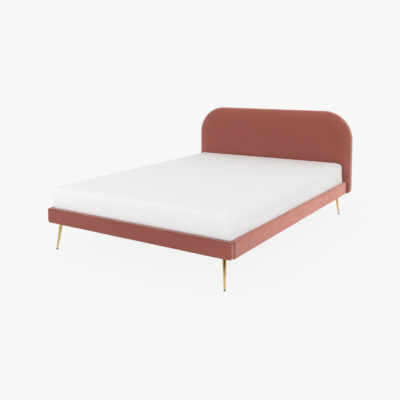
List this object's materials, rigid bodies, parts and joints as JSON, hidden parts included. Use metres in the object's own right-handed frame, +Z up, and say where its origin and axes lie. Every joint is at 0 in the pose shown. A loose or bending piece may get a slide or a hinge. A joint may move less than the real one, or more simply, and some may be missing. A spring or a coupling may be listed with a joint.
{
  "type": "upholstered bed",
  "caption": "Low double bed with velvet-covered padded rails, a wide round-cornered headboard, splayed tapered metal legs, a sprung slat base and a loose mattress.",
  "frame": {"origin": "on the floor under the middle of the whole bed, as the middle of the bottom of its box", "axes": "+X across the bed, to the right seen from the foot; +Y from the foot to the head; +Z up"},
  "size_m": [1.475, 2.025, 0.868],
  "materials": {
    "velvet": "matte",
    "foam": "matte",
    "plywood": "matte",
    "pine": "matte",
    "birch": "satin",
    "dust_cloth": "matte",
    "brass": "satin",
    "black_plastic": "matte",
    "black_steel": "satin",
    "zinc": "satin",
    "insert_brass": "satin",
    "foot_plastic": "matte",
    "ticking": "matte"
  },
  "bodies": {
    "bed_frame": {"headboard_cover": "velvet", "foot_rail_cover": "velvet", "left_rail_cover": "velvet", "right_rail_cover": "velvet", "headboard_foam": "foam", "foot_rail_foam": "foam", "left_rail_foam": "foam", "right_rail_foam": "foam", "headboard_panel": "plywood", "foot_rail_board": "plywood", "left_rail_board": "plywood", "right_rail_board": "plywood", "headboard_stiles": "pine", "headboard_rails": "pine", "head_cross_rail": "pine", "corner_blocks": "pine", "slat_pair_01": "birch", "slat_pair_02": "birch", "slat_pair_03": "birch", "slat_pair_04": "birch", "slat_pair_05": "birch", "slat_pair_06": "birch", "slat_pair_07": "birch", "slat_pair_08": "birch", "slat_pair_09": "birch", "slat_pair_10": "birch", "slat_pair_11": "birch", "slat_pair_12": "birch", "slat_pair_13": "birch", "slat_pair_14": "birch", "headboard_back_cloth": "dust_cloth", "leg_foot_left": "brass", "leg_foot_right": "brass", "leg_head_left": "brass", "leg_head_right": "brass", "leg_tip_foot_left": "black_plastic", "leg_tip_foot_right": "black_plastic", "leg_tip_head_left": "black_plastic", "leg_tip_head_right": "black_plastic", "slat_caps_left": "black_plastic", "slat_caps_right": "black_plastic", "slat_caps_centre": "black_plastic", "centre_leg_insert_01": "black_plastic", "centre_leg_insert_02": "black_plastic", "left_ledge": "black_steel", "right_ledge": "black_steel", "centre_beam": "black_steel", "beam_bracket_foot": "black_steel", "beam_bracket_head": "black_steel", "centre_leg_01": "black_steel", "centre_leg_02": "black_steel", "corner_angles": "zinc", "rail_bolts": "zinc", "leg_screws": "zinc", "frame_screws": "zinc", "beam_screws": "zinc", "threaded_inserts": "insert_brass"},
    "mattress": {"mattress": "ticking"},
    "levelling_foot_foot_end": {"levelling_foot_01": "foot_plastic"},
    "levelling_foot_head_end": {"levelling_foot_02": "foot_plastic"}
  },
  "joints": [
    {"name": "mattress_lift", "type": "slide", "parent": "bed_frame", "child": "mattress", "axis": [0, 0, 1], "range_m": [0, 0.7]},
    {"name": "levelling_foot_end_screw", "type": "slide", "parent": "bed_frame", "child": "levelling_foot_foot_end", "axis": [0, 0, 1], "range_m": [-0.012, 0.012]},
    {"name": "levelling_head_end_screw", "type": "slide", "parent": "bed_frame", "child": "levelling_foot_head_end", "axis": [0, 0, 1], "range_m": [-0.012, 0.012]}
  ]
}
